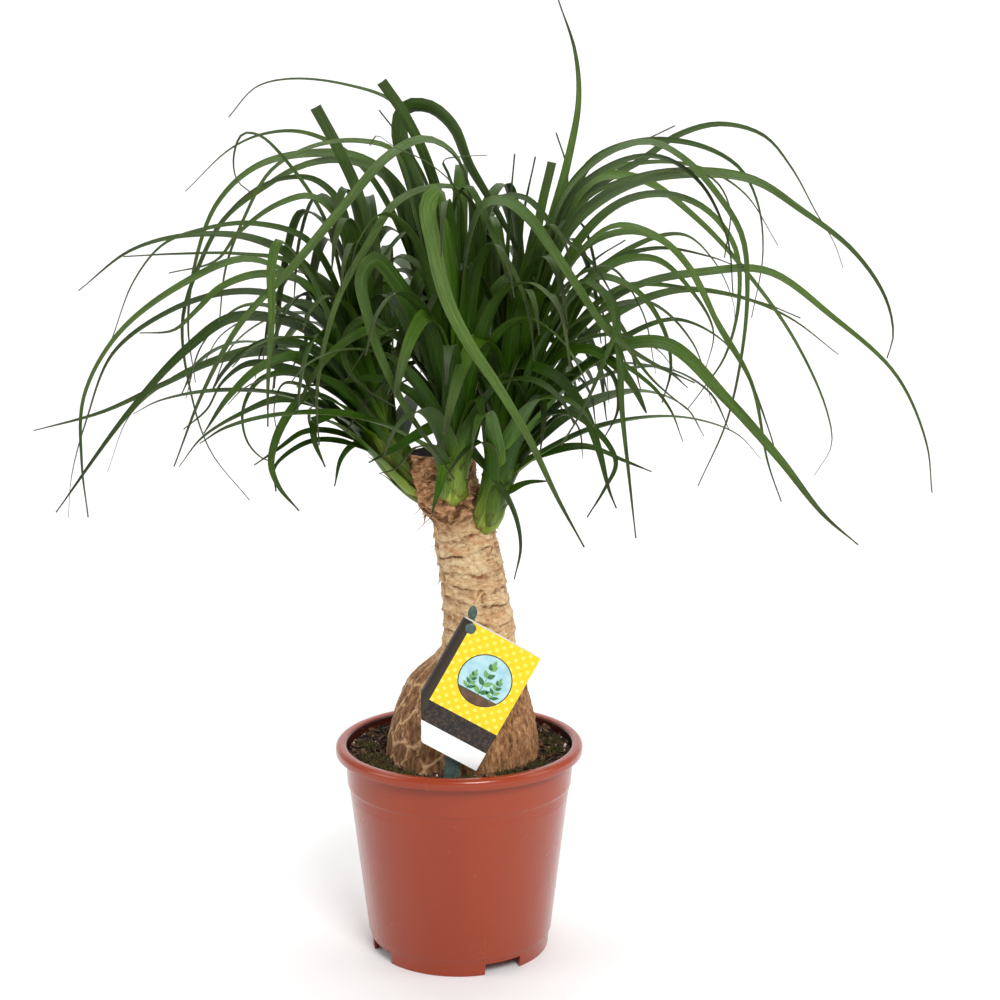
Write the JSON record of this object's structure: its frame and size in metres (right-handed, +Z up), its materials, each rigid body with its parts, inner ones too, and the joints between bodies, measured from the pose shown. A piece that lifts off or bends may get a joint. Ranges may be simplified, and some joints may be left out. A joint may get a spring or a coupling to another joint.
{
  "type": "potted ponytail palm",
  "caption": "Small ponytail palm with a swollen caudex, a sawn trunk and arching strap leaves, in a plastic nursery pot with a plant label.",
  "frame": {"origin": "on the pot's axis, in the plane that its foot ring stands on, under the middle of the whole plant", "axes": "+Z up, +X to the right as seen from the side with the label, -Y towards that side"},
  "size_m": [0.6769, 0.4727, 0.7201],
  "materials": {
    "pot_plastic": "glossy terracotta-coloured plastic",
    "potting_soil": "loose dark soil",
    "bark": "rough corky bark",
    "leaf": "smooth leathery leaf",
    "stake_plastic": "matt dark grey-green plastic",
    "card_plastic": "glossy printed card"
  },
  "bodies": {
    "root": {"pot": "pot_plastic", "soil": "potting_soil", "trunk": "bark", "shoot_left": "leaf", "shoot_front": "leaf", "shoot_right": "leaf", "shoot_rear": "leaf", "label_stake": "stake_plastic", "label_card": "card_plastic"}
  },
  "joints": []
}
